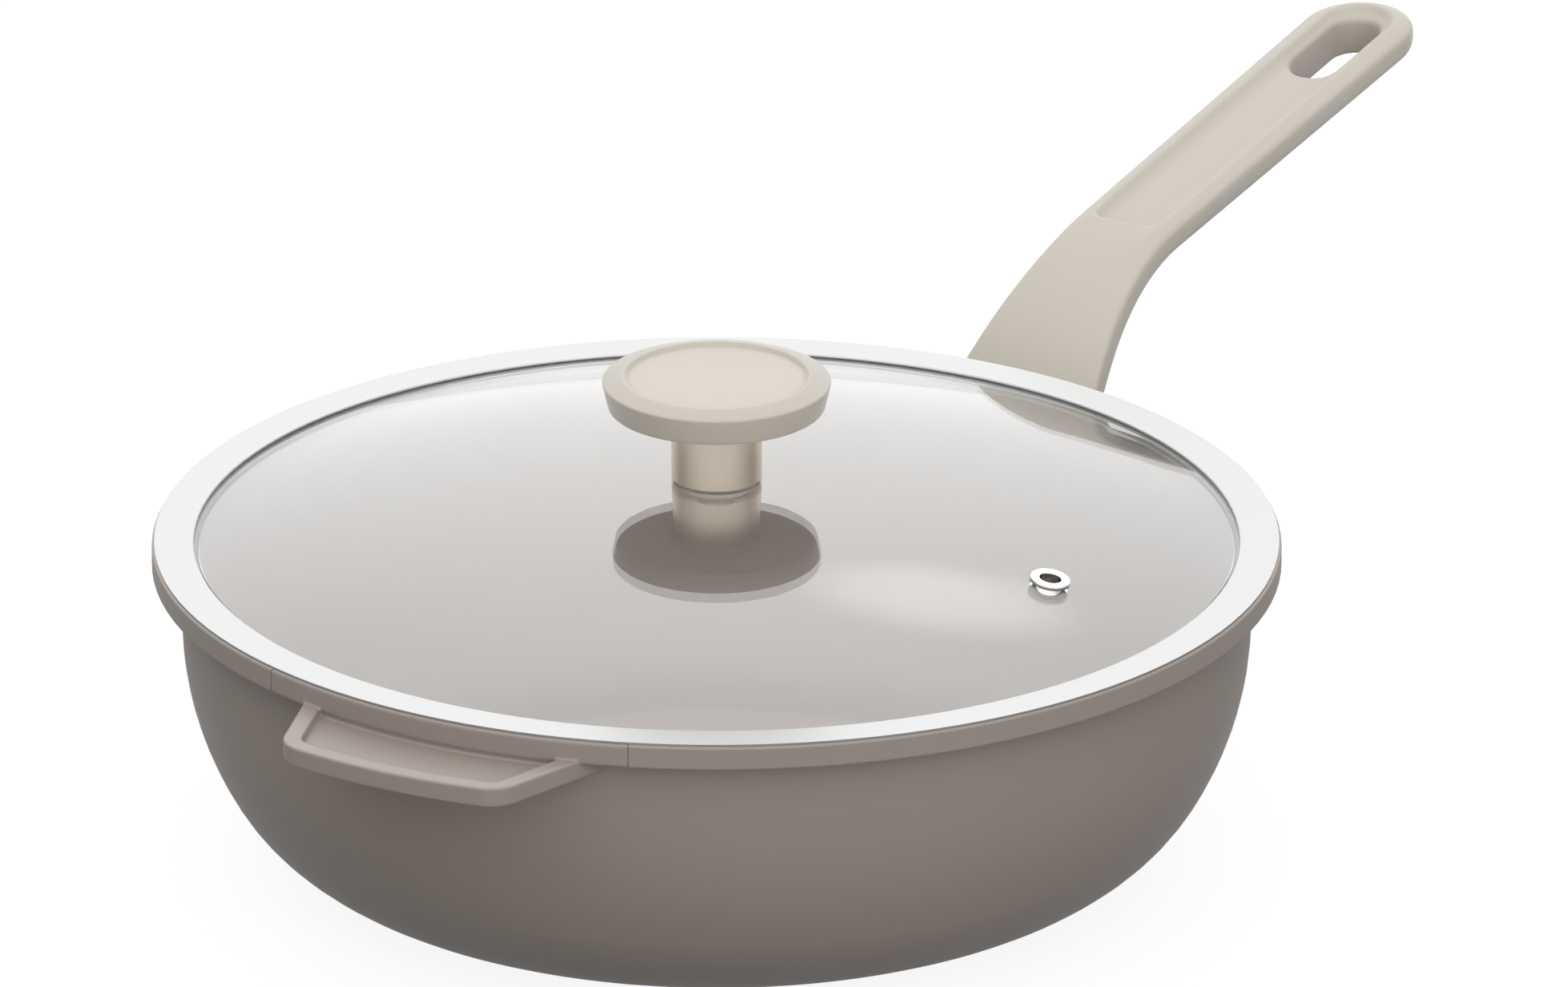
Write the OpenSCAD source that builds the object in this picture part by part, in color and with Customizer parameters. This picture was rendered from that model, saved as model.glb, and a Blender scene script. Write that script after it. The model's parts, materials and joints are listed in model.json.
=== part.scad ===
// Deep frying pan with a long handle, a helper tab and a glass lid with a steel rim.
// Millimetres, +Z up. The origin is the centre of the base's underside, on the surface
// that the pan stands on. +X runs along the long handle, and the helper tab is on -X.

/* [Pan] */
// Outer diameter of the lip
lip_d = 288; // [264:1:312]
// Height of the lip's top above the surface the pan stands on
pan_h = 85.9; // [80:0.1:100]
// Thickness of the side wall
wall_t = 2.5; // [2:0.1:3.5]
// Height of the cooking floor above the surface the pan stands on
floor_h = 4.5; // [3.5:0.1:6]
// How far the lip stands out beyond the wall
lip_step = 7.3; // [5:0.1:9]
// Height of the lip's outer face
lip_h = 6.3; // [5:0.1:8]
// Small rounding on the lip's outer edges
lip_round = 0.7; // [0.3:0.1:1.2]
// Fillet between the lip's underside and the wall
lip_fillet = 1.6; // [0.8:0.1:2.5]
// Height at which the curved side turns into the straight upper wall
curve_z = 63.7; // [58:0.1:68]
// Lean of the straight upper wall, in degrees
wall_lean = 1.4; // [0.5:0.1:3]
// Radius of the side's upper curve
side_r = 81.5; // [70:0.5:90]
// Angle at which the upper curve hands over to the lower one, in degrees
side_turn = 30.9; // [26:0.1:36]

/* [Induction disc] */
// Thickness of the steel disc in the base
disc_t = 1.0; // [0.8:0.1:1.4]
// How far the disc stands below the aluminium base
disc_proud = 0.5; // [0.3:0.1:0.6]
// Aluminium left round the disc
disc_margin = 6.5; // [4:0.5:12]
// Number of shallow rings turned in the disc's underside
disc_rings = 4; // [0:1:6]

/* [Helper tab] */
// How far the tab reaches beyond the lip
tab_reach = 23; // [19:0.5:30]
// Width of the tab where it leaves the lip
tab_w = 77; // [66:1:88]
// Angle by which each side of the tab closes in, in degrees
tab_taper = 17.2; // [10:0.2:22]
// Corner radius of the tab
tab_corner = 9.5; // [6:0.5:12]
// Thickness of the tab
tab_t = 5.2; // [4.4:0.1:6]
// Width of the raised border round the tab
tab_border = 4.8; // [3:0.1:5.5]
// Depth of the tab's sunk top
tab_sink = 2.1; // [1:0.05:2.6]
// Height of the tab's border above the lip's underside
tab_over = 0.9; // [0.2:0.1:1.6]
// Angle by which the tab hangs down, in degrees
tab_droop = 2; // [0:0.5:5]
// Stretch of lip that is one piece with the tab, in degrees
pad_arc = 42.7; // [38:0.1:50]

/* [Long handle] */
// From the lip to the centre of the handle's rounded tip
handle_reach = 186; // [150:0.5:210]
// Width of the grip at its tip
grip_w = 30; // [27:0.2:33]
// Angle by which each side of the grip closes in towards the pan, in degrees
grip_taper = 0.5; // [0:0.1:1]
// Thickness of the grip's side
grip_side_t = 7.4; // [6.5:0.1:9]
// How far the middle of the underside hangs below its sides
under_drop = 6; // [2:0.1:7]
// Height of the ridges above the grip's outer edges
ridge_h = 2; // [1.2:0.1:2.6]
// Distance between the two ridges that edge the thumb channel
ridge_gap = 19.4; // [16:0.2:20]
// Depth of the thumb channel
channel_depth = 2.7; // [1.5:0.1:3]
// Radius of the channel's lower corners
channel_r = 5; // [3:0.5:8]
// Rise of the grip, in degrees
grip_rise = 7.14; // [4:0.1:10]
// Height of the grip's outer edge line over the lip
grip_over_lip = 9.1; // [7:0.1:14]
// From the lip to the bend on the neck's top
top_bend_reach = 68.4; // [60:0.2:74]
// Radius of the bend on the neck's top
neck_top_r = 90; // [80:1:100]
// From the lip to the bend on the neck's underside
under_bend_reach = 71.6; // [68:0.2:80]
// Radius of the bend on the neck's underside
neck_under_r = 80; // [72:1:88]
// Slope of the neck where it comes to the pan, in degrees
neck_slope = 42; // [38:0.5:46]
// Radius of the neck's flare, seen from above
flare_r = 230; // [200:5:300]
// Length of the hang hole
hang_l = 34; // [26:0.2:36]
// Width of the hang hole
hang_w = 13.6; // [10:0.1:14]
// Handle left beyond the hang hole, up to the tip
hang_wall = 8.7; // [6:0.1:12]

/* [Handle fixing] */
// Width of the bracket's tongue inside the handle
tongue_w = 22; // [18:0.5:26]
// Thickness of the tongue
tongue_t = 4; // [3.5:0.1:4.5]
// Length of the tongue
tongue_l = 24; // [21:0.5:28]
// Diameter of the handle screw's shank
handle_screw_d = 5; // [4:0.1:5.5]

/* [Lid] */
// Thickness of the lid rim's sheet steel
sheet_t = 0.6; // [0.4:0.1:0.8]
// How far the rim's edge stays inside the lip's
rim_inset = 0.6; // [0.2:0.1:1.5]
// Gap between the skirt and the pan's mouth
lid_fit = 0.4; // [0.3:0.05:0.8]
// Thickness of the glass
glass_t = 4; // [3:0.1:4.2]
// Height of the glass's crown above the rim's top
crown_h = 17.1; // [12:0.1:24]
// Depth of the glass's edge below the rim's top
edge_drop = 0.8; // [0.6:0.05:1.9]
// Width of the flange on which the glass lies
return_w = 2.6; // [2.2:0.1:6]
// Thickness of the silicone round and under the glass's edge
seal_t = 0.5; // [0.3:0.05:0.8]

/* [Vent] */
// Distance of the vent from the glass's edge
vent_margin = 34.8; // [20:0.1:52]
// Diameter of the vent's hole
vent_bore = 5.5; // [4.5:0.1:6]
// Outer diameter of the vent's ring
vent_ring_d = 10.3; // [9.5:0.1:12]
// Height of the vent's ring above the glass
vent_ring_h = 1.2; // [1.1:0.1:2.4]

/* [Knob] */
// Diameter of the knob's steel sleeve
stem_d = 23.2; // [21:0.2:26]
// Height of the cap's underside above the glass
cap_lift = 18.9; // [16:0.1:24]
// Diameter of the cap at its upper edge
cap_d = 58.6; // [52:0.2:64]
// How much the cap narrows towards its underside, on each side
cap_flare = 1.7; // [1:0.1:2.5]
// Height of the cap's side
cap_side_h = 7.2; // [5:0.1:8]
// Rise of the cap's top ring above its side
cap_dome_h = 1.5; // [1:0.1:2]
// Diameter of the cap's sunk top
cap_sunk_d = 47; // [42:0.2:50]
// Depth of the cap's sunk top
cap_sunk_h = 1; // [0.6:0.1:1.5]
// Diameter of the knob screw's shank
knob_screw_d = 5; // [4:0.1:5.5]

/* [Hidden] */

$fn = 128;
// One overrun for every cut that has to run past a face
over = 1;
// Gap between round pieces that are pressed or screwed together
snug = 0.05;

// Pan: radii and the two curves of the side
lip_r = lip_d / 2;
wall_r = lip_r - lip_step;
mouth_r = wall_r - wall_t;
lip_under_z = pan_h - lip_h;
curve_wall_r = wall_r - (lip_under_z - curve_z) * tan(wall_lean);
side_c = [curve_wall_r - side_r * cos(wall_lean), curve_z + side_r * sin(wall_lean)];
base_z = disc_proud;
base_flat_r = let (c = heel_centre(0, 0), r = heel_r(0, 0)) c.x + sqrt(pow(r, 2) - pow(c.y - base_z, 2));
disc_r = base_flat_r - disc_margin;
ring_w = 1.2;
ring_depth = 0.25;
ring_pitch = disc_r / (disc_rings + 1);

// Helper tab
pad_seat_gap = 0.5;
pad_seam = 0.08;
pad_seam_a = 2 * asin(pad_seam / lip_d);
pad_seat_r = wall_r + lip_fillet + pad_seat_gap;
tab_top_z = lip_under_z + tab_over;
tab_steps = 8;
tab_side_n = [sin(tab_taper), cos(tab_taper)];
tab_side_m = [cos(tab_taper), -sin(tab_taper)];
tab_side_s = tab_side_n * [lip_r, tab_w / 2];

// Long handle: the grip's line, its two bends and its tip
tip_x = lip_r + handle_reach;
tip_r = grip_w / 2;
edge_z0 = pan_h + grip_over_lip;
grip_slope = tan(grip_rise);
top_bend_x = lip_r + top_bend_reach;
under_bend_x = lip_r + under_bend_reach;
root_gap = 4;
root_x = lip_r - root_gap;
edge_round = 1.75;
under_round = 4;
waist_w = grip_w - 2 * (tip_x - top_bend_x) * tan(grip_taper);
ridge_shares = [0, 0.34, 0.52, 1];
neck_rings = 32;
tip_rings = 10;
arc_steps = 4;
crown_steps = 5;
crown_power = 1.6;
channel_run_in = 4;
channel_near_x = top_bend_x - channel_run_in;
channel_corner = 4;
channel_half = ridge_gap / 2;
channel_flat = channel_half - sqrt(pow(channel_r, 2) - pow(channel_r - channel_depth, 2));
hang_far_x = tip_x + tip_r - hang_wall;

// Handle fixing: the tongue lies along the neck's slope, in the middle of its root
tongue_z = (edge_z(root_x) + under_z(root_x)) / 2;
tongue_raise = 0.8;
tongue_gap = 0.2;
bracket_pad_w = 40;
bracket_pad_t = 16;
bracket_pad_margin = 1;
screw_along = 14;
tongue_in = 4;
seat_wall = 1.6;
bush_wall = 1.4;
bush_r = handle_screw_d / 2 + bush_wall;
handle_head_h = 1.8;
handle_head_d = 9;
handle_washer_t = 0.6;
handle_washer_d = 9.6;
head_gap = 0.3;
drive_depth = 1;
drive_w = 1.2;
neck_half_t = (edge_z(root_x) - under_z(root_x)) * cos(neck_slope) / 2;
seat_z = -tongue_t / 2 - tongue_gap - seat_wall;

// Lid: the rim's sheet, and the glass as part of a ball
rim_top_z = pan_h + sheet_t;
skirt_out_r = mouth_r - lid_fit;
skirt_in_r = skirt_out_r - sheet_t;
glass_edge_r = skirt_in_r - seal_t;
glass_sag = crown_h + edge_drop;
glass_ball_r = (pow(glass_edge_r, 2) + pow(glass_sag, 2)) / (2 * glass_sag);
crown_z = rim_top_z + crown_h;
glass_c_z = crown_z - glass_ball_r;
return_r = skirt_out_r - return_w;
return_top_z = glass_under(glass_edge_r) - seal_t;

// Vent
vent_tilt = asin((glass_edge_r - vent_margin) / glass_ball_r);
vent_seal_t = 0.4;
vent_wall = 0.55;
vent_tube_r = vent_bore / 2 + vent_wall;
vent_collar_d = 9.6;
vent_collar_t = 1.1;
vent_below = 0.5;

// Knob
foot_t = 0.3;
foot_inset = 0.3;
sleeve_t = 1.2;
sleeve_bed = 2;
post_gap = 0.3;
cap_z = crown_z + cap_lift;
cap_r = cap_d / 2;
cap_sunk_r = cap_sunk_d / 2;
cap_slope_w = 1;
knob_bush_wall = 1.5;
knob_bush_r = knob_screw_d / 2 + knob_bush_wall;
knob_bush_h = 12;
knob_seal_d = 20;
knob_seal_t = 1;
knob_washer_d = 18;
knob_washer_t = 1;
knob_head_d = 9.5;
knob_head_h = 3;
knob_screw_in = 9;
screw_hole_gap = 0.5;
knob_under_z = crown_z - glass_t - knob_seal_t;

pan_colour = [0.52, 0.48, 0.45];
handle_colour = [0.83, 0.80, 0.75];
steel_colour = [0.82, 0.83, 0.84];
sleeve_colour = [0.68, 0.64, 0.57];
glass_colour = [0.78, 0.82, 0.82, 0.6];
seal_colour = [0.85, 0.85, 0.83];
brass_colour = [0.78, 0.66, 0.38];
alloy_colour = [0.70, 0.71, 0.72];

// Where the side's upper curve ends, for a wall set in by t
function side_end(t) = side_c + (side_r - t) * [cos(side_turn), -sin(side_turn)];
// Radius of the lower curve that reaches the height z flat
function heel_r(t, z) = (side_end(t).y - z) / (1 - sin(side_turn));
function heel_centre(t, z) = side_end(t) - heel_r(t, z) * [cos(side_turn), -sin(side_turn)];

// Points of an arc about c, from angle a to angle b
function arc(c, r, a, b, steps) =
    [for (i = [0 : steps]) let (w = a + (b - a) * i / steps) c + r * [cos(w), sin(w)]];
// The same points mirrored in the X axis, in the other order
function flip(points) = [for (i = [len(points) - 1 : -1 : 0]) [points[i].x, -points[i].y]];

// Height of a line that runs at the grip's rise from x0 on, bends down towards the pan
// with radius r, and runs straight again once it has the neck's slope
function bent_line(x, x0, z0, r) =
    let (c = [x0 + r * sin(grip_rise), z0 - r * cos(grip_rise)],
         x1 = c.x - r * sin(neck_slope))
    x >= x0 ? z0 + (x - x0) * grip_slope
    : x >= x1 ? c.y + sqrt(pow(r, 2) - pow(c.x - x, 2))
    : c.y + r * cos(neck_slope) - (x1 - x) * tan(neck_slope);
function grip_line(x) = edge_z0 + (x - lip_r) * grip_slope;
function edge_z(x) = bent_line(x, top_bend_x, grip_line(top_bend_x), neck_top_r);
function under_z(x) =
    bent_line(x, under_bend_x, grip_line(under_bend_x) - grip_side_t, neck_under_r);
function half_w(x) =
    x < top_bend_x ? waist_w / 2 + flare_r - sqrt(pow(flare_r, 2) - pow(top_bend_x - x, 2))
    : grip_w / 2 - (tip_x - x) * tan(grip_taper);

// How far the section at x has the grip's ridged top (1) or the neck's even crown (0)
function ridged(x) =
    let (a = channel_near_x - neck_top_r / 3, s = (x - a) / (channel_near_x - a))
    s <= 0 ? 0 : s >= 1 ? 1 : s * s * (3 - 2 * s);

// Half of the handle's section at x, from its top middle round to its bottom middle
function half_section(x) =
    let (w = half_w(x), z = edge_z(x), b = under_z(x), k = ridged(x), c = channel_half,
         swell = atan(crown_power * under_drop / (w - under_round / 2)),
         y1 = w - under_round * (1 - sin(swell)), z1 = b + under_round * (1 - cos(swell)),
         land = k * ridge_h / (w - c) + (1 - k) * 2 * ridge_h / w,
         lean = atan(land),
         zc = z - edge_round * (1 - sin(lean)) / cos(lean))
    concat([for (s = ridge_shares) let (y = s * c)
                [y, z + k * ridge_h + (1 - k) * ridge_h * (1 - pow(y / w, 2))]],
           arc([w - edge_round, zc], edge_round, 90 - lean, 0, arc_steps),
           arc([w - under_round, b + under_round], under_round, 0, swell - 90, arc_steps),
           [for (i = [1 : crown_steps]) let (s = 1 - i / crown_steps)
                [s * y1, z1 - under_drop * (1 - pow(s, crown_power))]]);

// One ring of the handle: its two halves, folded forward by the angle turn
function handle_ring(x, turn) =
    let (h = half_section(x), n = len(h))
    concat([for (p = h) [x + p.x * sin(turn), p.x * cos(turn), p.y + p.x * sin(turn) * grip_slope]],
           [for (i = [n - 2 : -1 : 1]) let (p = h[i])
                [x + p.x * sin(turn), -p.x * cos(turn), p.y + p.x * sin(turn) * grip_slope]]);

// Skin over rings of equal length, with a flat end at the first; the last is folded shut
module skin(rings) {
    n = len(rings);
    m = len(rings[0]);
    polyhedron(points = [for (r = rings) each r],
               faces = concat([[for (j = [m - 1 : -1 : 0]) j]],
                              [for (i = [0 : n - 2], j = [0 : m - 1]) let (k = (j + 1) % m)
                                   [i * m + j, (i + 1) * m + k, (i + 1) * m + j]],
                              [for (i = [0 : n - 2], j = [0 : m - 1]) let (k = (j + 1) % m)
                                   [i * m + j, i * m + k, (i + 1) * m + k]]));
}

// Sector of a circle, between the angles a and b
module sector(c, r, a, b) {
    intersection() {
        translate(c) circle(r = r, $fn = 360);
        polygon([c, c + 2 * r * [cos(a), sin(a)], c + 2 * r * [cos(b), sin(b)]]);
    }
}

// Half outline of the bowl, filled, for a wall set in by t and a bottom at height z
module bowl_fill(t, z, top) {
    end = side_end(t);
    heel = heel_centre(t, z);
    polygon([[0, z], [heel.x, z], heel, end, side_c,
             side_c + (side_r - t) * [cos(wall_lean), -sin(wall_lean)],
             [curve_wall_r - t + (top - curve_z) * tan(wall_lean), top], [0, top]]);
    sector(side_c, side_r - t, -wall_lean, -side_turn);
    sector(heel, heel_r(t, z), -side_turn, -90);
}

// The lip's section, out to the radius r
module lip_fill(r) {
    intersection() {
        difference() {
            union() {
                translate([mouth_r - over, lip_under_z + lip_round])
                    square([lip_r - mouth_r + over, lip_h - 2 * lip_round]);
                translate([mouth_r - over, lip_under_z])
                    square([lip_r - mouth_r + over - lip_round, lip_h]);
                for (z = [lip_under_z + lip_round, pan_h - lip_round])
                    translate([lip_r - lip_round, z]) circle(r = lip_round, $fn = 48);
                translate([mouth_r, lip_under_z - lip_fillet])
                    square([wall_r - mouth_r + lip_fillet, lip_fillet]);
            }
            translate([wall_r + lip_fillet, lip_under_z - lip_fillet]) circle(r = lip_fillet, $fn = 64);
        }
        translate([mouth_r - over, lip_under_z - lip_fillet]) square([r - mouth_r + over, pan_h]);
    }
}

// The pan's section, with its lip cut at the radius r
module pan_section(r) {
    difference() {
        union() {
            bowl_fill(0, 0, pan_h);
            lip_fill(r);
        }
        bowl_fill(wall_t, floor_h, pan_h + over);
        translate([-over, -over]) square([lip_r, base_z + over]);
    }
}

module pan_body() {
    color(pan_colour) difference() {
        rotate_extrude($fn = 180) pan_section(lip_r);
        translate([0, 0, -over]) cylinder(r = disc_r + snug, h = disc_t + over, $fn = 180);
        rotate([0, 0, 180 - pad_arc / 2 - pad_seam_a])
            rotate_extrude(angle = pad_arc + 2 * pad_seam_a, $fn = 180)
            translate([pad_seat_r, lip_under_z - over]) square([lip_step + over, lip_h + 2 * over]);
    }
}

module induction_disc() {
    color(steel_colour) rotate_extrude($fn = 180) difference() {
        square([disc_r, disc_t]);
        for (i = [1 : 1 : disc_rings])
            translate([disc_r - i * ring_pitch, -over]) square([ring_w, ring_depth + over]);
    }
}

// Outline of the tab in its own frame, +X outward, drawn in by b
module tab_outline(b) {
    s = tab_side_s - b;
    reach = lip_r + tab_reach - b;
    r = tab_corner - b;
    c = tab_side_n * (s - r) + tab_side_m * sqrt(pow(reach - r, 2) - pow(s - r, 2));
    ca = atan2(c.y, c.x);
    half = concat([tab_side_n * s + tab_side_m * lip_r * (1 - tab_side_m.x)],
                  arc(c, r, 90 - tab_taper, ca, tab_steps),
                  arc([0, 0], reach, ca, 0, tab_steps));
    polygon(concat(half, flip(half)));
}

module tab_plate() {
    difference() {
        linear_extrude(tab_t) tab_outline(0);
        difference() {
            translate([0, 0, tab_t - tab_sink]) linear_extrude(tab_sink + over) tab_outline(tab_border);
            cylinder(r = lip_r - lip_round / 2, h = tab_t + 2 * over, $fn = 180);
        }
    }
}

module helper_tab() {
    color(pan_colour) difference() {
        rotate([0, 0, 180]) union() {
            rotate([0, 0, -pad_arc / 2]) rotate_extrude(angle = pad_arc, $fn = 180) difference() {
                lip_fill(lip_r);
                square([pad_seat_r + snug, pan_h + over]);
            }
            translate([lip_r, 0, tab_top_z]) rotate([0, tab_droop, 0])
                translate([-lip_r, 0, -tab_t]) tab_plate();
        }
        rotate_extrude($fn = 180) union() {
            bowl_fill(0, 0, pan_h);
            lip_fill(pad_seat_r + snug);
        }
    }
}

// Puts what lies along the tongue, +X outward, on the neck's slope
module at_tongue() {
    translate([root_x, 0, tongue_z]) rotate([0, -neck_slope, 0])
        translate([0, 0, tongue_raise]) children();
}

module handle_bracket() {
    foot = under_z(root_x) + bracket_pad_margin;
    color(alloy_colour) difference() {
        union() {
            translate([root_x - bracket_pad_t, -bracket_pad_w / 2, foot])
                cube([bracket_pad_t, bracket_pad_w, edge_z(root_x) - bracket_pad_margin - foot]);
            intersection() {
                at_tongue() translate([-tongue_l, -tongue_w / 2, -tongue_t / 2])
                    cube([2 * tongue_l, tongue_w, tongue_t]);
                translate([root_x - tongue_in, -tongue_w, 0])
                    cube([tongue_in + 2 * tongue_l, 2 * tongue_w, 2 * pan_h]);
            }
        }
        rotate_extrude($fn = 180) bowl_fill(0, 0, pan_h);
        at_tongue() translate([screw_along, 0, -tongue_t]) cylinder(r = bush_r + snug, h = 2 * tongue_t);
    }
}

module handle_bush() {
    color(brass_colour) at_tongue() translate([screw_along, 0, -tongue_t / 2]) difference() {
        cylinder(r = bush_r, h = tongue_t);
        translate([0, 0, -over]) cylinder(r = handle_screw_d / 2 + snug, h = tongue_t + 2 * over);
    }
}

// The handle's skin: neck, grip and rounded tip
module handle_skin() {
    neck = [for (i = [0 : neck_rings]) root_x + (under_bend_x - root_x) * i / neck_rings];
    skin(concat([for (x = neck) handle_ring(x, 0)],
                [for (i = [0 : tip_rings]) handle_ring(tip_x, 90 * i / tip_rings)]));
}

// Section of the thumb channel, with its flat floor at the height -channel_r
module channel_section() {
    for (s = [-1, 1]) translate([s * channel_flat, 0]) circle(r = channel_r, $fn = 96);
    translate([-channel_flat, -channel_r]) square([2 * channel_flat, 2 * channel_r]);
}

// The channel runs along the grip and turns round the tip's centre
module thumb_channel() {
    top = grip_line(tip_x) + ridge_h + channel_r - channel_depth;
    intersection() {
        translate([tip_x, 0, top]) rotate([0, -grip_rise, 0]) union() {
            translate([-handle_reach, 0, 0]) rotate([90, 0, 90])
                linear_extrude(handle_reach) channel_section();
            rotate_extrude($fn = 180) intersection() {
                channel_section();
                translate([0, -channel_r]) square([channel_half + channel_r, 2 * channel_r]);
            }
        }
        translate([channel_near_x, 0, 0]) linear_extrude(2 * pan_h) hull() {
            for (s = [-1, 1])
                translate([channel_corner, s * (channel_half - channel_corner)])
                    circle(r = channel_corner, $fn = 32);
            translate([handle_reach, -channel_half]) square([grip_w, ridge_gap]);
        }
    }
}

module long_handle() {
    color(handle_colour) difference() {
        handle_skin();
        thumb_channel();
        hull() for (x = [hang_far_x - hang_l + hang_w / 2, hang_far_x - hang_w / 2])
            translate([x, 0, pan_h - over]) cylinder(r = hang_w / 2, h = pan_h, $fn = 48);
        at_tongue() {
            translate([-tongue_l, -tongue_w / 2 - tongue_gap, -tongue_t / 2 - tongue_gap])
                cube([2 * tongue_l + tongue_gap, tongue_w + 2 * tongue_gap, tongue_t + 2 * tongue_gap]);
            translate([screw_along, 0, seat_z - over])
                cylinder(r = handle_screw_d / 2 + head_gap, h = over - seat_z);
            translate([screw_along, 0, seat_z - 4 * neck_half_t])
                cylinder(r = handle_washer_d / 2 + head_gap, h = 4 * neck_half_t);
        }
    }
}

module handle_washer() {
    color(steel_colour) at_tongue() translate([screw_along, 0, seat_z - handle_washer_t]) difference() {
        cylinder(r = handle_washer_d / 2, h = handle_washer_t);
        translate([0, 0, -over]) cylinder(r = handle_screw_d / 2 + snug, h = handle_washer_t + 2 * over);
    }
}

module handle_screw() {
    foot = seat_z - handle_washer_t - handle_head_h;
    color(steel_colour) at_tongue() translate([screw_along, 0, foot]) difference() {
        union() {
            cylinder(r = handle_head_d / 2, h = handle_head_h);
            cylinder(r = handle_screw_d / 2, h = tongue_t / 2 - foot);
        }
        cross_slot(handle_head_d);
    }
}

// Cross recess in the underside of a screw head that stands on z = 0
module cross_slot(head_d) {
    for (a = [0, 90])
        rotate([0, 0, a]) translate([-head_d / 4, -drive_w / 2, -over])
            cube([head_d / 2, drive_w, drive_depth + over]);
}

module lid_rim() {
    low_z = return_top_z - sheet_t;
    color(steel_colour) rotate_extrude($fn = 180) {
        translate([skirt_out_r, pan_h]) square([lip_r - rim_inset - skirt_out_r, sheet_t]);
        translate([skirt_out_r, pan_h]) intersection() {
            circle(r = sheet_t, $fn = 48);
            translate([-sheet_t, 0]) square(sheet_t);
        }
        translate([skirt_in_r, low_z]) square([sheet_t, pan_h - low_z]);
        translate([return_r, low_z]) square([return_w, sheet_t]);
    }
}

// Section of the glass
module glass_fill() {
    intersection() {
        translate([0, glass_c_z]) difference() {
            circle(r = glass_ball_r, $fn = 256);
            circle(r = glass_ball_r - glass_t, $fn = 256);
        }
        square([glass_edge_r, 2 * crown_z]);
    }
}

// Heights of the glass's upper and lower face at the radius r
function glass_top(r) = glass_c_z + sqrt(pow(glass_ball_r, 2) - pow(r, 2));
function glass_under(r) = glass_c_z + sqrt(pow(glass_ball_r - glass_t, 2) - pow(r, 2));

module glass_seal() {
    r = glass_edge_r;
    color(seal_colour) rotate_extrude($fn = 180)
        polygon([[return_r, return_top_z], [skirt_in_r, return_top_z],
                 [skirt_in_r, glass_top(r) - seal_t], [r, glass_top(r) - seal_t],
                 [r, glass_under(r) - snug], [return_r, glass_under(return_r) - snug]]);
}

// Turns what stands on z = 0 so that it stands on the glass at the vent, square to it
module at_vent() {
    translate([0, 0, glass_c_z]) rotate([vent_tilt, 0, 0]) translate([0, 0, glass_ball_r]) children();
}

module lid_glass() {
    color(glass_colour) difference() {
        rotate_extrude($fn = 180) glass_fill();
        translate([0, 0, crown_z - 2 * glass_t])
            cylinder(r = knob_screw_d / 2 + screw_hole_gap, h = 3 * glass_t);
        at_vent() translate([0, 0, -2 * glass_t]) cylinder(r = vent_tube_r + snug, h = 3 * glass_t);
    }
}

module vent_seal() {
    color(seal_colour) at_vent() difference() {
        cylinder(r = vent_ring_d / 2, h = vent_seal_t);
        translate([0, 0, -over]) cylinder(r = vent_tube_r + snug, h = vent_seal_t + 2 * over);
    }
}

module vent_eyelet() {
    ring = (vent_ring_d - vent_bore) / 2;
    lift = vent_ring_h - vent_seal_t;
    r = min(ring / 4, lift / 2);
    color(steel_colour) at_vent() rotate_extrude($fn = 96) {
        translate([vent_bore / 2, vent_seal_t]) square([ring, lift - r]);
        translate([vent_bore / 2 + r, vent_seal_t]) square([ring - 2 * r, lift]);
        for (x = [vent_bore / 2 + r, vent_ring_d / 2 - r])
            translate([x, vent_ring_h - r]) circle(r = r, $fn = 48);
        translate([vent_bore / 2, -glass_t - vent_collar_t - vent_below])
            square([vent_wall, glass_t + vent_collar_t + vent_below + vent_seal_t]);
    }
}

module vent_collar() {
    color(steel_colour) at_vent() translate([0, 0, -glass_t - vent_collar_t - snug]) difference() {
        cylinder(r = vent_collar_d / 2, h = vent_collar_t);
        translate([0, 0, -over]) cylinder(r = vent_tube_r + snug, h = vent_collar_t + 2 * over);
    }
}

module knob_foot() {
    r0 = knob_screw_d / 2 + screw_hole_gap;
    r1 = stem_d / 2 - foot_inset;
    color(seal_colour) rotate_extrude($fn = 96)
        polygon([[r0, glass_top(r0) + snug], [r1, glass_top(r1) + snug], [r1, crown_z + foot_t],
                 [r0, crown_z + foot_t]]);
}

module knob_sleeve() {
    h = cap_lift - foot_t + sleeve_bed;
    color(sleeve_colour) translate([0, 0, crown_z + foot_t]) difference() {
        cylinder(r = stem_d / 2, h = h);
        translate([0, 0, -over]) cylinder(r = stem_d / 2 - sleeve_t, h = h + 2 * over);
    }
}

module knob_cap() {
    post_r = stem_d / 2 - sleeve_t - snug;
    top = cap_side_h + cap_dome_h;
    color(handle_colour) translate([0, 0, cap_z]) difference() {
        union() {
            rotate_extrude($fn = 128) difference() {
                polygon([[0, 0], [cap_r - cap_flare, 0], [cap_r, cap_side_h],
                         [cap_sunk_r + cap_slope_w, top], [0, top]]);
                polygon([[0, top - cap_sunk_h], [cap_sunk_r - cap_slope_w, top - cap_sunk_h],
                         [cap_sunk_r, top + over], [0, top + over]]);
            }
            translate([0, 0, foot_t + post_gap - cap_lift]) cylinder(r = post_r, h = cap_lift);
        }
        difference() {
            translate([0, 0, -over]) cylinder(r = stem_d / 2 + snug, h = sleeve_bed + over);
            translate([0, 0, -2 * over]) cylinder(r = post_r, h = sleeve_bed + 3 * over);
        }
        translate([0, 0, -cap_lift])
            cylinder(r = knob_bush_r + snug, h = foot_t + post_gap + knob_bush_h);
    }
}

module knob_bush() {
    color(brass_colour) translate([0, 0, crown_z + foot_t + post_gap]) difference() {
        cylinder(r = knob_bush_r, h = knob_bush_h);
        translate([0, 0, -over]) cylinder(r = knob_screw_d / 2 + snug, h = knob_bush_h + 2 * over);
    }
}

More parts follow.
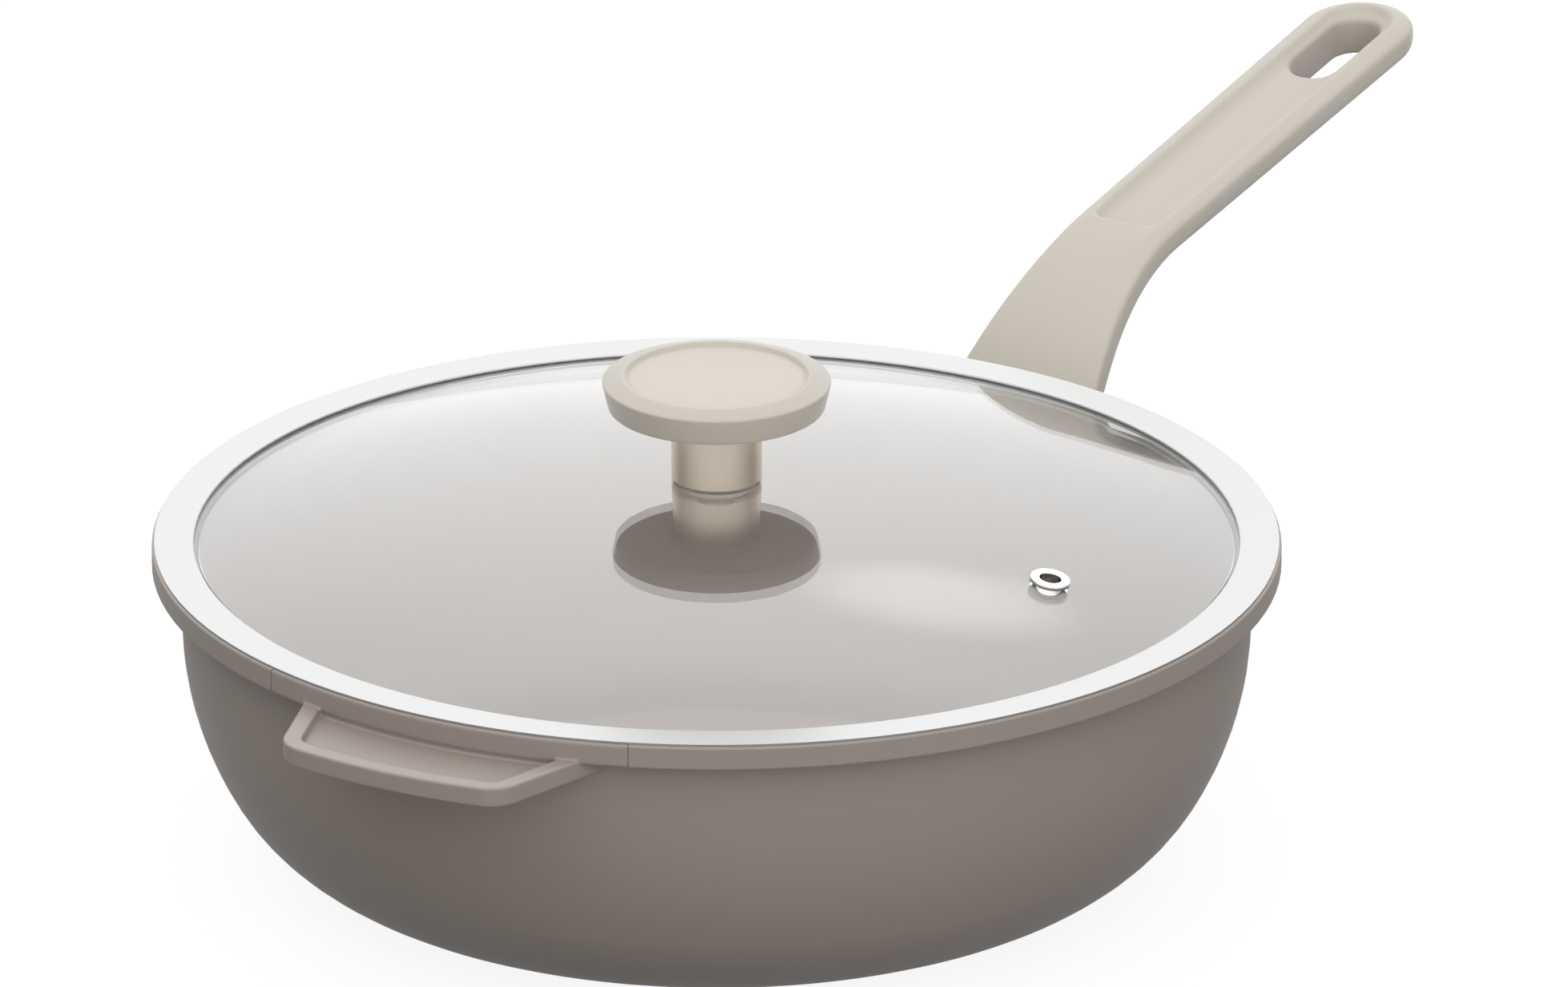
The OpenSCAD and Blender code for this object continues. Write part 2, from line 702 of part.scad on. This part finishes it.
module knob_seal() {
    r0 = knob_screw_d / 2 + snug;
    r1 = knob_seal_d / 2;
    color(seal_colour) rotate_extrude($fn = 96)
        polygon([[r0, knob_under_z], [r1, knob_under_z], [r1, glass_under(r1) - snug],
                 [r0, glass_under(r0) - snug]]);
}

module knob_washer() {
    color(steel_colour) translate([0, 0, knob_under_z - knob_washer_t]) difference() {
        cylinder(r = knob_washer_d / 2, h = knob_washer_t);
        translate([0, 0, -over]) cylinder(r = knob_screw_d / 2 + snug, h = knob_washer_t + 2 * over);
    }
}

module knob_screw() {
    foot = knob_under_z - knob_washer_t - knob_head_h;
    color(steel_colour) translate([0, 0, foot]) difference() {
        union() {
            cylinder(r = knob_head_d / 2, h = knob_head_h);
            cylinder(r = knob_screw_d / 2, h = crown_z + foot_t + post_gap + knob_screw_in - foot);
        }
        cross_slot(knob_head_d);
    }
}

pan_body();
induction_disc();
helper_tab();
handle_bracket();
handle_bush();
long_handle();
handle_washer();
handle_screw();
lid_rim();
glass_seal();
lid_glass();
vent_seal();
vent_eyelet();
vent_collar();
knob_foot();
knob_sleeve();
knob_cap();
knob_bush();
knob_seal();
knob_washer();
knob_screw();
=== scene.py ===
# %% [markdown]
# # A deep frying pan with a glass lid
# The pan was drawn first as solid CAD parts, each a named node. This lesson dresses those
# nodes in Blender: it makes the softer shapes that moulding and casting give, the finishes,
# the light and the camera. A node's place is in its mesh, so every piece made here is
# written in the same frame: metres, +Z up, the origin under the middle of the base.

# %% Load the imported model
import bpy
import bmesh
import json
import math
from mathutils import Matrix, Vector

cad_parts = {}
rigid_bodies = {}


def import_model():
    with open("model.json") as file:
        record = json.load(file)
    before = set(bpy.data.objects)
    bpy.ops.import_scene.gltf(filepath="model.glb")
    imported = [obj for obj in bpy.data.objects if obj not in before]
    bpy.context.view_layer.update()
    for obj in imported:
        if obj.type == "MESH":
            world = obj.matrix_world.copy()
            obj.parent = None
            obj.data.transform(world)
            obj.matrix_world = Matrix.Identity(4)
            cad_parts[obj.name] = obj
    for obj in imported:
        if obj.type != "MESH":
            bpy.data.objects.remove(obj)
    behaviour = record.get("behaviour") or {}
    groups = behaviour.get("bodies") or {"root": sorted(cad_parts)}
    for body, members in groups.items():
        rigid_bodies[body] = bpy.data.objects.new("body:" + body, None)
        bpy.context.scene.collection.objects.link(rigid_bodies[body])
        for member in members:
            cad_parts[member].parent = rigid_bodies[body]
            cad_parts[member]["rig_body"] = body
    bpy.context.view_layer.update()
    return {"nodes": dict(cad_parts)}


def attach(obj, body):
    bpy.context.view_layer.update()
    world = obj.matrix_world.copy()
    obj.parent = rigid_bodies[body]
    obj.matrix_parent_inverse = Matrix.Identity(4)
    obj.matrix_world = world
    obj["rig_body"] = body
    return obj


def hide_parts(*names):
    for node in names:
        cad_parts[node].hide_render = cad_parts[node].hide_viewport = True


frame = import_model()
nodes = frame["nodes"]
MM = 0.001

# %% [markdown]
# ## The camera
# The photograph was taken with a very long lens from 21 degrees above the table, so that
# the lid's round rim is nearly the same width in front and behind. A long lens far away
# does the same here. The camera is aimed at a point by two directions of its own picture,
# right and up, which is how a photographer shifts the frame.

# %% Camera
AZIMUTH, ELEVATION = math.radians(-59.8097), math.radians(21.1993)
DISTANCE, FOCAL_LENGTH, SENSOR_WIDTH = 11.98877, 1080, 36
LID_PLANE = 0.0865  # height of the flat rim that the photograph was measured by
SHIFT_RIGHT, SHIFT_UP = 0.0171588, 0.0115101

back = Vector((math.sin(AZIMUTH) * math.cos(ELEVATION),
               -math.cos(AZIMUTH) * math.cos(ELEVATION),
               math.sin(ELEVATION)))
right = Vector((math.cos(AZIMUTH), math.sin(AZIMUTH), 0))
up = back.cross(right)
aim = Vector((0, 0, LID_PLANE)) + right * SHIFT_RIGHT + up * SHIFT_UP
lens = bpy.data.cameras.new("camera")
lens.sensor_width = SENSOR_WIDTH
lens.lens = FOCAL_LENGTH
lens.clip_end = 40
camera = bpy.data.objects.new("camera", lens)
camera.location = aim + back * DISTANCE
camera.rotation_mode = "QUATERNION"
camera.rotation_quaternion = back.to_track_quat("Z", "Y")
bpy.context.scene.collection.objects.link(camera)
bpy.context.scene.camera = camera
print("camera at", [round(v, 3) for v in camera.location])

# %% [markdown]
# ## Small helpers for shader nodes
# A material is a graph of nodes. One helper adds a node and sets its sockets, so that each
# finish below reads as a short list of what feeds what. A second starts a node group. The
# Standard view shows the colours as they are, without a film's soft curve.

# %% Helpers for graphs
bpy.context.scene.view_settings.view_transform = "Standard"


def add(tree, kind, values=(), **settings):
    """Adds a node. values feeds its sockets, each from a number or from another socket."""
    made = tree.nodes.new(kind)
    for name, value in settings.items():
        setattr(made, name, value)
    for socket, value in dict(values).items():
        if isinstance(value, bpy.types.NodeSocket):
            tree.links.new(value, made.inputs[socket])
        else:
            made.inputs[socket].default_value = value
    return made


def new_group(name, inputs, outputs):
    """Starts a node group, and gives its tree and the sockets at its two ends."""
    tree = bpy.data.node_groups.new(name, "ShaderNodeTree")
    for title, value in inputs.items():
        kind = "NodeSocketVector" if title == "Vector" else "NodeSocketFloat"
        socket = tree.interface.new_socket(title, in_out="INPUT", socket_type=kind)
        if value is not None:
            socket.default_value = value
    for title in outputs:
        tree.interface.new_socket(title, in_out="OUTPUT", socket_type="NodeSocketFloat")
    return tree, add(tree, "NodeGroupInput").outputs, add(tree, "NodeGroupOutput").inputs


# %% [markdown]
# ## Fine grain
# A sprayed coating and a moulded soft-touch plastic both have a fine, even grain, and a
# little cloudiness in how they catch the light. Both come from noise at two scales. The
# effect is built once as a group, and each finish sets its own size and strength.

# %% The grain group
grain_tree, grain_in, grain_out = new_group(
    "fine_grain",
    {"Vector": None, "Grain Size": 2500.0, "Cloud Size": 40.0, "Cloud": 0.1},
    ("Height", "Tone", "Gloss Change"))
fine = add(grain_tree, "ShaderNodeTexNoise",
           {"Vector": grain_in["Vector"], "Scale": grain_in["Grain Size"], "Detail": 2.0})
cloud = add(grain_tree, "ShaderNodeTexNoise",
            {"Vector": grain_in["Vector"], "Scale": grain_in["Cloud Size"], "Detail": 3.0})
swing = add(grain_tree, "ShaderNodeMath", {0: cloud.outputs["Fac"], 1: 0.5},
            operation="SUBTRACT")
depth = add(grain_tree, "ShaderNodeMath", {0: swing.outputs[0], 1: grain_in["Cloud"]},
            operation="MULTIPLY")
tone = add(grain_tree, "ShaderNodeMath", {0: depth.outputs[0], 1: 1.0}, operation="ADD")
grain_tree.links.new(fine.outputs["Fac"], grain_out["Height"])
grain_tree.links.new(tone.outputs[0], grain_out["Tone"])
grain_tree.links.new(depth.outputs[0], grain_out["Gloss Change"])
print("fine_grain", len(grain_tree.nodes), "nodes")

# %% [markdown]
# ## Turned lines
# Steel that was spun or faced on a lathe keeps very fine rings around its axis. The
# distance from the axis, stretched into a wave and broken up by a little noise, gives the
# rings. All such parts here turn about the pan's own axis, so Object coordinates serve.

# %% The turned-lines group
turned_tree, turned_in, turned_out = new_group(
    "turned_lines", {"Vector": None, "Lines": 900.0, "Contrast": 0.06}, ("Height", "Tone"))
flat = add(turned_tree, "ShaderNodeVectorMath", {0: turned_in["Vector"], 1: (1, 1, 0)},
           operation="MULTIPLY")
radius = add(turned_tree, "ShaderNodeVectorMath", {0: flat.outputs[0]}, operation="LENGTH")
ring = add(turned_tree, "ShaderNodeMath", {0: radius.outputs["Value"], 1: turned_in["Lines"]},
           operation="MULTIPLY")
lines = add(turned_tree, "ShaderNodeTexNoise",
            {"W": ring.outputs[0], "Scale": 1.0, "Detail": 2.0}, noise_dimensions="1D")
off = add(turned_tree, "ShaderNodeMath", {0: lines.outputs["Fac"], 1: 0.5},
          operation="SUBTRACT")
strength = add(turned_tree, "ShaderNodeMath", {0: off.outputs[0], 1: turned_in["Contrast"]},
               operation="MULTIPLY")
lift = add(turned_tree, "ShaderNodeMath", {0: strength.outputs[0], 1: 1.0}, operation="ADD")
turned_tree.links.new(lines.outputs["Fac"], turned_out["Height"])
turned_tree.links.new(lift.outputs[0], turned_out["Tone"])
print("turned_lines", len(turned_tree.nodes), "nodes")

# %% [markdown]
# ## Two recipes for finishes
# Most finishes here are one shader with a colour, a roughness and either the grain or the
# turned lines. Two recipes build them, and each finish below gives only its own numbers.
# What both do alike, tinting the colour and raising the bumps, is a helper of its own.


# %% Helpers for materials
def blank(name):
    """A new material: itself, its tree, its shader, and the Object coordinates."""
    made = bpy.data.materials.new(name)
    made.use_nodes = True
    tree = made.node_tree
    shader = tree.nodes["Principled BSDF"]
    return made, tree, shader, add(tree, "ShaderNodeTexCoord").outputs["Object"]


def set_plain(shader, **plain):
    """Sets values that are the same all over, with _ for each space in a socket's name."""
    for name, value in plain.items():
        shader.inputs[name.replace("_", " ")].default_value = value


def tint_and_bump(tree, shader, group, colour, height):
    """Multiplies the colour by the group's tone, and bumps the surface by its height."""
    mix = tree.nodes.new("ShaderNodeMix")
    mix.data_type, mix.blend_type = "RGBA", "MULTIPLY"
    mix.inputs[0].default_value = 1.0
    mix.inputs[6].default_value = (*colour, 1)
    tree.links.new(group.outputs["Tone"], mix.inputs[7])
    tree.links.new(mix.outputs[2], shader.inputs["Base Color"])
    bump = add(tree, "ShaderNodeBump",
               {"Height": group.outputs["Height"], "Strength": 1.0, "Distance": height})
    tree.links.new(bump.outputs["Normal"], shader.inputs["Normal"])


# %% Recipes
def grained(name, colour, rough, size, cloud_size, cloud_depth, height, **plain):
    made, tree, shader, place = blank(name)
    group = add(tree, "ShaderNodeGroup", node_tree=grain_tree)
    tree.links.new(place, group.inputs["Vector"])
    group.inputs["Grain Size"].default_value = size
    group.inputs["Cloud Size"].default_value = cloud_size
    group.inputs["Cloud"].default_value = cloud_depth
    tint_and_bump(tree, shader, group, colour, height)
    level = add(tree, "ShaderNodeMath", {0: group.outputs["Gloss Change"], 1: rough},
                operation="ADD")
    tree.links.new(level.outputs[0], shader.inputs["Roughness"])
    set_plain(shader, **plain)
    return made


def turned(name, colour, rough, count, contrast, height):
    made, tree, shader, place = blank(name)
    group = add(tree, "ShaderNodeGroup", node_tree=turned_tree)
    tree.links.new(place, group.inputs["Vector"])
    group.inputs["Lines"].default_value = count
    group.inputs["Contrast"].default_value = contrast
    tint_and_bump(tree, shader, group, colour, height)
    set_plain(shader, Roughness=rough, Metallic=1.0)
    return made


# %% [markdown]
# ## Coating, plastic and silicone
# The bowl, its lip and the tab share one matte taupe coating, sprayed on and baked. The
# handle and the knob's cap are moulded in a warm, light soft-touch plastic, whose faint
# nap shows as a sheen. The seals are silicone in three shades. Each finish is one call:
# its colour, roughness, grain and cloud sizes, cloud depth and bump height.

# %% Coating, plastic and silicone
coating = grained("taupe_coating", (0.27, 0.232, 0.206), 0.40, 5200, 30, 0.05, 0.000002,
                  Sheen_Weight=0.12, Sheen_Roughness=0.3)
plastic = grained("soft_touch_plastic", (0.434, 0.398, 0.342), 0.50, 3200, 45, 0.04, 0.000006,
                  Sheen_Weight=0.5, Sheen_Roughness=0.4)
dark_seal = grained("dark_silicone", (0.12, 0.113, 0.105), 0.45, 1500, 60, 0.08, 0.00001)
knob_silicone = grained("taupe_silicone", (0.42, 0.39, 0.35), 0.45, 1500, 60, 0.08, 0.00001)
edge_seal = grained("grey_silicone", (0.40, 0.40, 0.39), 0.35, 1500, 60, 0.08, 0.00001)
print("coating, plastic and silicone", len(bpy.data.materials), "materials so far")

# %% [markdown]
# ## Metals
# The lid's rim is spun from steel and polished, and the disc in the base is faced on a
# lathe, so both get turned lines. The other metals only get the grain, because they are
# satin, chromed or too small for their lines to show.

# %% Metals
rim_steel = turned("polished_rim_steel", (0.39, 0.39, 0.39), 0.34, 2200, 0.03, 0.000002)
base_steel = turned("turned_base_steel", (0.52, 0.52, 0.53), 0.30, 1500, 0.25, 0.00001)
sleeve_metal = grained("satin_champagne_metal", (0.72, 0.64, 0.53), 0.30, 1800, 90, 0.05,
                       0.000005, Metallic=1.0)
chrome = grained("vent_chrome", (0.80, 0.80, 0.80), 0.10, 900, 120, 0.06, 0.000002,
                 Metallic=1.0)
screw_steel = grained("screw_steel", (0.58, 0.57, 0.55), 0.28, 1600, 150, 0.12, 0.00001,
                      Metallic=1.0)
brass = grained("brass", (0.78, 0.62, 0.32), 0.30, 1600, 150, 0.12, 0.00001, Metallic=1.0)
alloy = grained("cast_alloy", (0.56, 0.56, 0.57), 0.50, 900, 80, 0.15, 0.00004, Metallic=1.0)
print("with the metals", len(bpy.data.materials), "materials so far")

# %% [markdown]
# ## Clear glass
# A tempered lid is a thick clear shell, so it is given as a solid whose two faces both
# bend and reflect. Light that only passes through to light the bowl need not be bent: for
# those rays the glass is swapped for a plain see-through shader, which keeps noise low,
# with a small white share for the light that a real lid scatters.

# %% Glass
GLASS_HAZE = 0.012  # the most roughness that a smear gives the glass
WHITE_SHARE = 0.16
glass, glass_nodes, glass_shader, glass_place = blank("tempered_glass")
set_plain(glass_shader, Base_Color=(1, 1, 1, 1), IOR=1.5, Transmission_Weight=1.0)
smear = add(glass_nodes, "ShaderNodeTexNoise",
            {"Vector": glass_place, "Scale": 60.0, "Detail": 2.0})
haze = add(glass_nodes, "ShaderNodeMapRange",
           {"Value": smear.outputs["Fac"], "To Min": 0.0, "To Max": GLASS_HAZE})
glass_nodes.links.new(haze.outputs["Result"], glass_shader.inputs["Roughness"])
ray = add(glass_nodes, "ShaderNodeLightPath")
passing = add(glass_nodes, "ShaderNodeMath",
              {0: ray.outputs["Is Shadow Ray"], 1: ray.outputs["Is Diffuse Ray"]},
              operation="MAXIMUM")
see_through = add(glass_nodes, "ShaderNodeBsdfTransparent", {"Color": (0.97, 0.975, 0.972, 1)})
shine = add(glass_nodes, "ShaderNodeBsdfDiffuse", {"Color": (0.9, 0.9, 0.9, 1)})
part = add(glass_nodes, "ShaderNodeMath", {0: ray.outputs["Is Diffuse Ray"], 1: WHITE_SHARE},
           operation="MULTIPLY")
clear = add(glass_nodes, "ShaderNodeMixShader",
            {0: part.outputs[0], 1: see_through.outputs[0], 2: shine.outputs[0]})
pick = add(glass_nodes, "ShaderNodeMixShader",
           {0: passing.outputs[0], 1: glass_shader.outputs[0], 2: clear.outputs[0]})
glass_nodes.links.new(pick.outputs[0], glass_nodes.nodes["Material Output"].inputs["Surface"])

# %% [markdown]
# ## Dress the CAD nodes
# Nodes whose shape is right as it is keep their mesh and only get a material. The knob's
# cap, the long handle and the tab get theirs here too, and are replaced further down by
# pieces with softer edges.

# %% Put the materials on
FINISH = {
    "pan_body": coating, "helper_tab": coating, "induction_disc": base_steel,
    "handle_bracket": alloy, "handle_bush": brass, "long_handle": plastic,
    "handle_washer": screw_steel, "handle_screw": screw_steel, "lid_rim": rim_steel,
    "glass_seal": edge_seal, "lid_glass": glass, "vent_seal": dark_seal,
    "vent_eyelet": chrome, "vent_collar": chrome, "knob_foot": knob_silicone,
    "knob_sleeve": sleeve_metal, "knob_cap": plastic, "knob_bush": brass,
    "knob_seal": knob_silicone, "knob_washer": screw_steel, "knob_screw": screw_steel,
}
for name, finish in FINISH.items():
    if not nodes[name].material_slots:
        nodes[name].data.materials.append(None)
    for place in nodes[name].material_slots:
        place.material = finish
print(len(FINISH), "nodes dressed")

# %% [markdown]
# ## Turned pieces
# The knob's cap is round, so it is a lathe piece: half of its outline is spun once round
# the Z axis. Bevelling the rings of edges that the spin makes rounds the edges that a
# mould would round, and each ring can have its own rounding.


# %% Lathe helper
def lathe(name, outline, rounded, steps):
    """Spins an outline of (radius, height) in mm. rounded gives rings their rounding."""
    work = bmesh.new()
    corners = [work.verts.new((r * MM, 0, z * MM)) for r, z in outline]
    edges = [work.edges.new(pair) for pair in zip(corners, corners[1:])]
    bmesh.ops.spin(work, geom=corners + edges, cent=(0, 0, 0), axis=(0, 0, 1),
                   angle=math.tau, steps=steps, use_merge=True)
    bmesh.ops.remove_doubles(work, verts=work.verts, dist=1e-7)
    bmesh.ops.recalc_face_normals(work, faces=work.faces)
    for (r, z), size in rounded.items():
        ring = [e for e in work.edges
                if all(abs(math.hypot(v.co.x, v.co.y) - r * MM) < 1e-6
                       and abs(v.co.z - z * MM) < 1e-6 for v in e.verts)]
        bmesh.ops.bevel(work, geom=ring, offset=size * MM, offset_type="OFFSET", segments=5,
                        profile=0.5, affect="EDGES", material=-1)
    return to_object(work, name)


def to_object(work, name, smooth=True):
    """Makes an object of a bmesh, at the origin, and frees the bmesh."""
    data = bpy.data.meshes.new(name)
    for face in work.faces:
        face.smooth = smooth
    work.to_mesh(data)
    work.free()
    made = bpy.data.objects.new(name, data)
    bpy.context.scene.collection.objects.link(made)
    print(name, len(data.polygons), "faces")
    return made


def stands_for(piece, node, finish):
    """Puts a piece in a CAD node's place: its finish and the body it rides on."""
    piece.data.materials.clear()
    piece.data.materials.append(finish)
    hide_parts(node)
    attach(piece, nodes[node]["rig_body"])


# %% [markdown]
# ## The knob's cap
# The cap is a disc with a slanted wall, a narrow raised bead round its top and a shallow
# dish within it. A socket below takes the sleeve, and a bore takes the threaded bush. The
# outline runs from the bore's top, round the underside and up the wall, to the dish.

# %% Knob cap
CAP_UNDER, WALL_TOP, BEAD_TOP, DISH = 122.5, 129.7, 131.2, 130.2
cap = lathe(
    "moulded_knob_cap",
    [(0, 116.2), (4.05, 116.2), (4.05, 104.2), (10.35, 104.2), (10.35, 124.5), (11.65, 124.5),
     (11.65, CAP_UNDER), (25.6, CAP_UNDER), (27.6, CAP_UNDER), (29.3, WALL_TOP),
     (24.5, BEAD_TOP), (23.5, BEAD_TOP), (22.7, DISH), (21.8, DISH), (0, DISH)],
    {(27.6, CAP_UNDER): 0.9, (29.3, WALL_TOP): 0.5, (24.5, BEAD_TOP): 0.3,
     (23.5, BEAD_TOP): 0.15, (22.7, DISH): 0.2},
    160)
stands_for(cap, "knob_cap", plastic)

# %% [markdown]
# ## Moulded and cast pieces
# The handle is moulded and the tab is cast, so all their edges are soft. Rounding each edge
# of such a shape by hand is slow. Instead a copy of the CAD mesh is merged, rebuilt as an
# even skin of small squares by a voxel remesh, and then relaxed. Relaxing moves each point
# towards its neighbours, which rounds edges and barely moves flat faces. The copy is
# turned first, so that the squares lie along its longest faces, and turned back after.


# %% Soft copy helper
def everywhere(point):
    return True


def soft_copy(name, node, voxel, tilt, passes):
    """voxel is in mm and tilt in degrees. passes lists (how many times, which points)."""
    turn = Matrix.Rotation(math.radians(tilt), 4, "Y")
    work = bmesh.new()
    work.from_mesh(nodes[node].data)
    bmesh.ops.remove_doubles(work, verts=work.verts, dist=1e-6)
    bmesh.ops.transform(work, matrix=turn, verts=work.verts)
    sharp = to_object(work, name + "_sharp", smooth=False)
    skin = sharp.modifiers.new("skin", "REMESH")
    skin.mode, skin.voxel_size = "VOXEL", voxel * MM
    bpy.context.view_layer.update()
    depsgraph = bpy.context.evaluated_depsgraph_get()
    data = bpy.data.meshes.new_from_object(sharp.evaluated_get(depsgraph))
    bpy.data.objects.remove(sharp)
    work = bmesh.new()
    work.from_mesh(data)
    bpy.data.meshes.remove(data)
    bmesh.ops.transform(work, matrix=turn.inverted(), verts=work.verts)
    for count, chosen in passes:
        points = [v for v in work.verts if chosen(v.co)]
        for _ in range(count):
            bmesh.ops.smooth_vert(work, verts=points, factor=0.5, use_axis_x=True,
                                  use_axis_y=True, use_axis_z=True)
    return to_object(work, name)


# %% [markdown]
# ## The long handle
# The grip rises gently towards its tip, with two ridges and a thumb channel between them.
# The edges round the channel are softer than the others, so once the whole handle is
# relaxed, the points there are relaxed for longer. The skin's squares are about as small as
# they can be with fewer than 200,000 triangles in the piece.

# %% Long handle
GRIP_RISE = 7.14
HANDLE_SKIN = 0.53
CHANNEL_START, CHANNEL_HALF, CHANNEL_LOW = 0.2070, 0.0108, 0.1009


def by_channel(point):
    """True in the thumb channel and at the edges that surround it."""
    low = CHANNEL_LOW + (point.x - CHANNEL_START) * math.tan(math.radians(GRIP_RISE))
    return point.x > CHANNEL_START and abs(point.y) < CHANNEL_HALF and point.z > low


handle = soft_copy("moulded_long_handle", "long_handle", HANDLE_SKIN, GRIP_RISE,
                   [(4, everywhere), (8, by_channel)])
stands_for(handle, "long_handle", plastic)

# %% [markdown]
# ## The helper tab
# The tab is cast with its own stretch of the lip. Its free part gets one more round of
# relaxing than the lip, whose edges have to run on into those of the bowl's lip.

# %% Helper tab
TAB_DROOP = 2.0
TAB_SKIN = 0.3
TAB_STARTS = 0.1446  # distance from the pan's axis past which the tab is free of the lip


def past_lip(point):
    return math.hypot(point.x, point.y) > TAB_STARTS


tab = soft_copy("cast_helper_tab", "helper_tab", TAB_SKIN, TAB_DROOP,
                [(3, everywhere), (1, past_lip)])
stands_for(tab, "helper_tab", coating)

# %% [markdown]
# ## The floor
# A plain pale floor. It is bright to the camera and in reflections, and gives back less
# light to matte surfaces, as grey paper under the pan would. In reflections it gets
# brighter away from the pan, where a studio's floor curves up into its white wall. From
# below it isn't seen.

# %% Floor
floor_work = bmesh.new()
bmesh.ops.create_circle(floor_work, cap_ends=True, radius=6.0, segments=96)
floor = to_object(floor_work, "floor", smooth=False)

# %% [markdown]
# ## The floor's paper
# Three kinds of rays meet the floor and each needs its own answer, so the Light Path node
# picks one of three shaders: one for the camera, one for matte surfaces that the floor
# lights, and one for mirrors and glass.

# %% Paper
NEAR_EDGE, FAR_EDGE = 0.25, 0.9  # metres from the pan's axis between which it brightens
NEAR_GLOW, FAR_GLOW = 0.3, 1.25
paper, paper_nodes, paper_shader, paper_place = blank("floor_paper")
paper_ray = add(paper_nodes, "ShaderNodeLightPath")
paper_side = add(paper_nodes, "ShaderNodeNewGeometry")
bounce = add(paper_nodes, "ShaderNodeBsdfDiffuse", {"Color": (0.24, 0.24, 0.24, 1)})
away = add(paper_nodes, "ShaderNodeVectorMath", {0: paper_place}, operation="LENGTH")
sweep = add(paper_nodes, "ShaderNodeMapRange",
            {"Value": away.outputs["Value"], "From Min": NEAR_EDGE, "From Max": FAR_EDGE,
             "To Min": NEAR_GLOW, "To Max": FAR_GLOW}, interpolation_type="SMOOTHSTEP")
mirrored = add(paper_nodes, "ShaderNodeEmission",
               {"Color": (1, 1, 1, 1), "Strength": sweep.outputs["Result"]})
bright = add(paper_nodes, "ShaderNodeBsdfDiffuse", {"Color": (0.12, 0.12, 0.12, 1)})
glow = add(paper_nodes, "ShaderNodeEmission", {"Color": (1, 1, 1, 1), "Strength": 0.9})
sheet = add(paper_nodes, "ShaderNodeAddShader", {0: bright.outputs[0], 1: glow.outputs[0]})
unseen = add(paper_nodes, "ShaderNodeMixShader",
             {0: paper_ray.outputs["Is Diffuse Ray"], 1: mirrored.outputs[0],
              2: bounce.outputs[0]})
seen = add(paper_nodes, "ShaderNodeMixShader",
           {0: paper_ray.outputs["Is Camera Ray"], 1: unseen.outputs[0], 2: sheet.outputs[0]})
through = add(paper_nodes, "ShaderNodeBsdfTransparent")
sided = add(paper_nodes, "ShaderNodeMixShader",
            {0: paper_side.outputs["Backfacing"], 1: seen.outputs[0], 2: through.outputs[0]})
paper_nodes.links.new(sided.outputs[0], paper_nodes.nodes["Material Output"].inputs["Surface"])
paper_nodes.nodes.remove(paper_shader)
floor.data.materials.append(paper)

# %% [markdown]
# ## Soft studio light
# A studio for such a picture is a white tent, and the world shader paints it by direction,
# with soft edges everywhere. Matte surfaces are lit by a soft light overhead and a large
# one in front on the right. Mirrors and glass see a bright wall behind the pan, another
# in front, a bright ceiling, and a small panel that leaves a soft spot in the lid.

# %% Light
world = bpy.data.worlds.new("tent")
bpy.context.scene.world = world
world.use_nodes = True
sky = world.node_tree
sky.nodes.clear()
toward = add(sky, "ShaderNodeTexCoord").outputs["Generated"]


def along(axis, near, far):
    """1 within the angle near of the axis, and 0 where it is past the angle far."""
    dot = add(sky, "ShaderNodeVectorMath", {0: toward, 1: Vector(axis).normalized()},
              operation="DOT_PRODUCT")
    return add(sky, "ShaderNodeMapRange",
               {"Value": dot.outputs["Value"], "From Min": math.cos(math.radians(far)),
                "From Max": math.cos(math.radians(near))},
               interpolation_type="SMOOTHSTEP").outputs["Result"]


def from_angles(turn, rise):
    turn, rise = math.radians(turn), math.radians(rise)
    return (math.cos(turn) * math.cos(rise), math.sin(turn) * math.cos(rise), math.sin(rise))


# %% [markdown]
# ## Where the light comes from
# Each line is one soft area of the tent: its direction as a turn from +X and a rise above
# the floor, the angles within which it is full and past which it is gone, and its
# brightness. Two lists are needed, because in the photograph the matte pieces and the
# mirroring ones look as if they stood in different light. A studio gets that with screens
# that hide a light from one part and not from another.

# %% The two tents
SOFT_LIGHT, SOFT_EVERYWHERE = [
    ((90, 76), 0, 64, 1.35),
    ((-131, 20), 2, 42, 2.5),
], 0.3
MIRRORED, MIRRORED_EVERYWHERE = [
    ((0, 90), 0, 90, 0.9),
    ((30.2, 5), 20, 80, 1.1),
    ((30.2, 60), 0, 60, 0.35),
    ((22.3, 35.3), 0, 4.8, 0.8),
    ((-150, 25), 10, 100, 1.0),
], 0.45


def tent(areas, level):
    """Adds the areas up on an even level, as one background."""
    start = add(sky, "ShaderNodeValue")
    start.outputs[0].default_value = level
    total = start.outputs[0]
    for (turn, rise), near, far, brightness in areas:
        total = add(sky, "ShaderNodeMath",
                    {0: along(from_angles(turn, rise), near, far), 1: brightness, 2: total},
                    operation="MULTIPLY_ADD").outputs[0]
    return add(sky, "ShaderNodeBackground",
               {"Strength": total, "Color": (1, 1, 1, 1)}).outputs[0]


white = add(sky, "ShaderNodeBackground", {"Strength": 1.0, "Color": (1, 1, 1, 1)}).outputs[0]
eye = add(sky, "ShaderNodeLightPath")
lit = add(sky, "ShaderNodeMixShader",
          {0: eye.outputs["Is Diffuse Ray"], 1: tent(MIRRORED, MIRRORED_EVERYWHERE),
           2: tent(SOFT_LIGHT, SOFT_EVERYWHERE)}).outputs[0]
shown = add(sky, "ShaderNodeMixShader",
            {0: eye.outputs["Is Camera Ray"], 1: lit, 2: white}).outputs[0]
add(sky, "ShaderNodeOutputWorld", {"Surface": shown})
print("tent", len(sky.nodes), "nodes")
